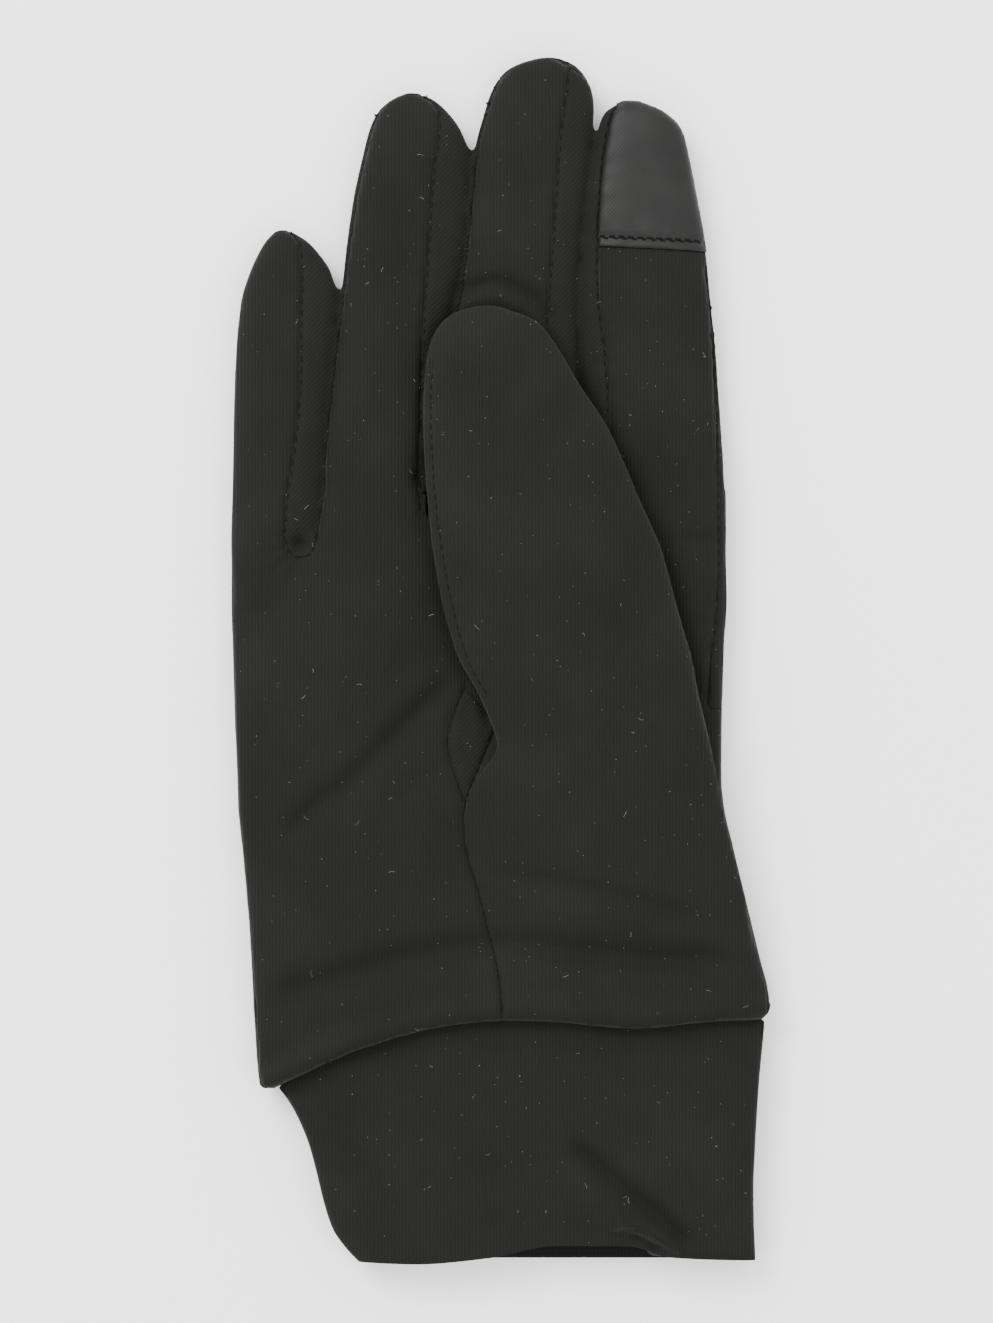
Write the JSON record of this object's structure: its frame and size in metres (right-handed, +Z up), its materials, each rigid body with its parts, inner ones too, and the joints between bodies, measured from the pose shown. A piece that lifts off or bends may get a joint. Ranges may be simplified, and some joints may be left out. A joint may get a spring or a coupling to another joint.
{
  "type": "glove liner",
  "caption": "Thin knitted glove liner lying palm up, with fingers, a thumb folded over the palm, a smooth index fingertip patch and a plain wrist cuff.",
  "frame": {"origin": "on the surface it lies on, under the middle of the glove", "axes": "+Y from the cuff towards the fingertips, +X from the little finger towards the index finger, +Z up from the surface, out of the palm"},
  "size_m": [0.1084, 0.2414, 0.0168],
  "materials": {
    "knit": "matt fine knit, warm black",
    "patch": "smooth satin grey, for touch screens"
  },
  "bodies": {
    "root": {"back_panel": "knit", "palm_panel": "knit", "thumb": "knit", "thumb_gusset": "knit", "touch_patch": "patch", "fourchette_little_ring": "knit", "fourchette_ring_middle": "knit", "fourchette_middle_index": "knit", "cuff": "knit"}
  },
  "joints": []
}
